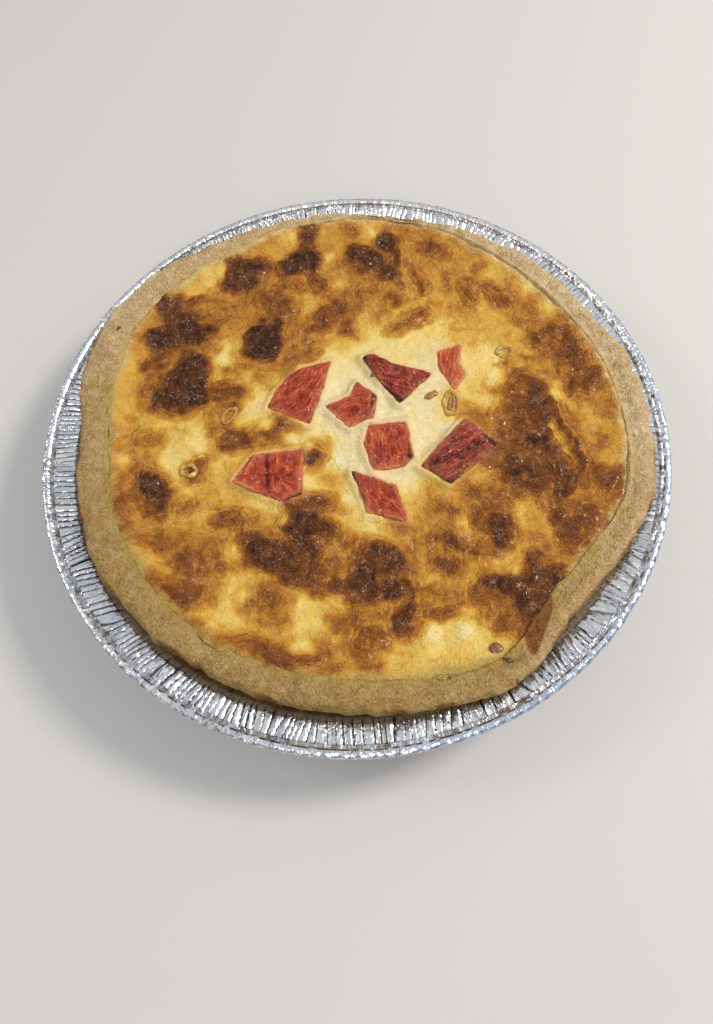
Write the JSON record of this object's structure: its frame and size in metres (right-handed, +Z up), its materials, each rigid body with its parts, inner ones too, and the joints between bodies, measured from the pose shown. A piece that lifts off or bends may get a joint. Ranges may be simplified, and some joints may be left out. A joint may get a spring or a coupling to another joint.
{
  "type": "vegetable quiche in foil pie plate",
  "caption": "Round baked quiche with tomato pieces on browned custard, in a hand-pressed pastry case in its fluted foil pie plate.",
  "frame": {"origin": "middle of the underside of the foil plate's base, on the surface that it stands on", "axes": "+Z up; the quiche is seen from the -Y side, with +X to the right"},
  "size_m": [0.228, 0.228, 0.0366],
  "materials": {
    "foil": "bright crinkled foil",
    "pastry": "matt baked shortcrust, tan with a browner edge",
    "custard": "baked egg custard, cream to deep brown, with a slight oily shine",
    "tomato": "roasted tomato, wrinkled and moist, with scorched edges"
  },
  "bodies": {
    "root": {"foil_plate": "foil", "crust": "pastry", "filling": "custard", "tomato_1": "tomato", "tomato_2": "tomato", "tomato_3": "tomato", "tomato_4": "tomato", "tomato_5": "tomato", "tomato_6": "tomato", "tomato_7": "tomato", "tomato_8": "tomato"}
  },
  "joints": []
}
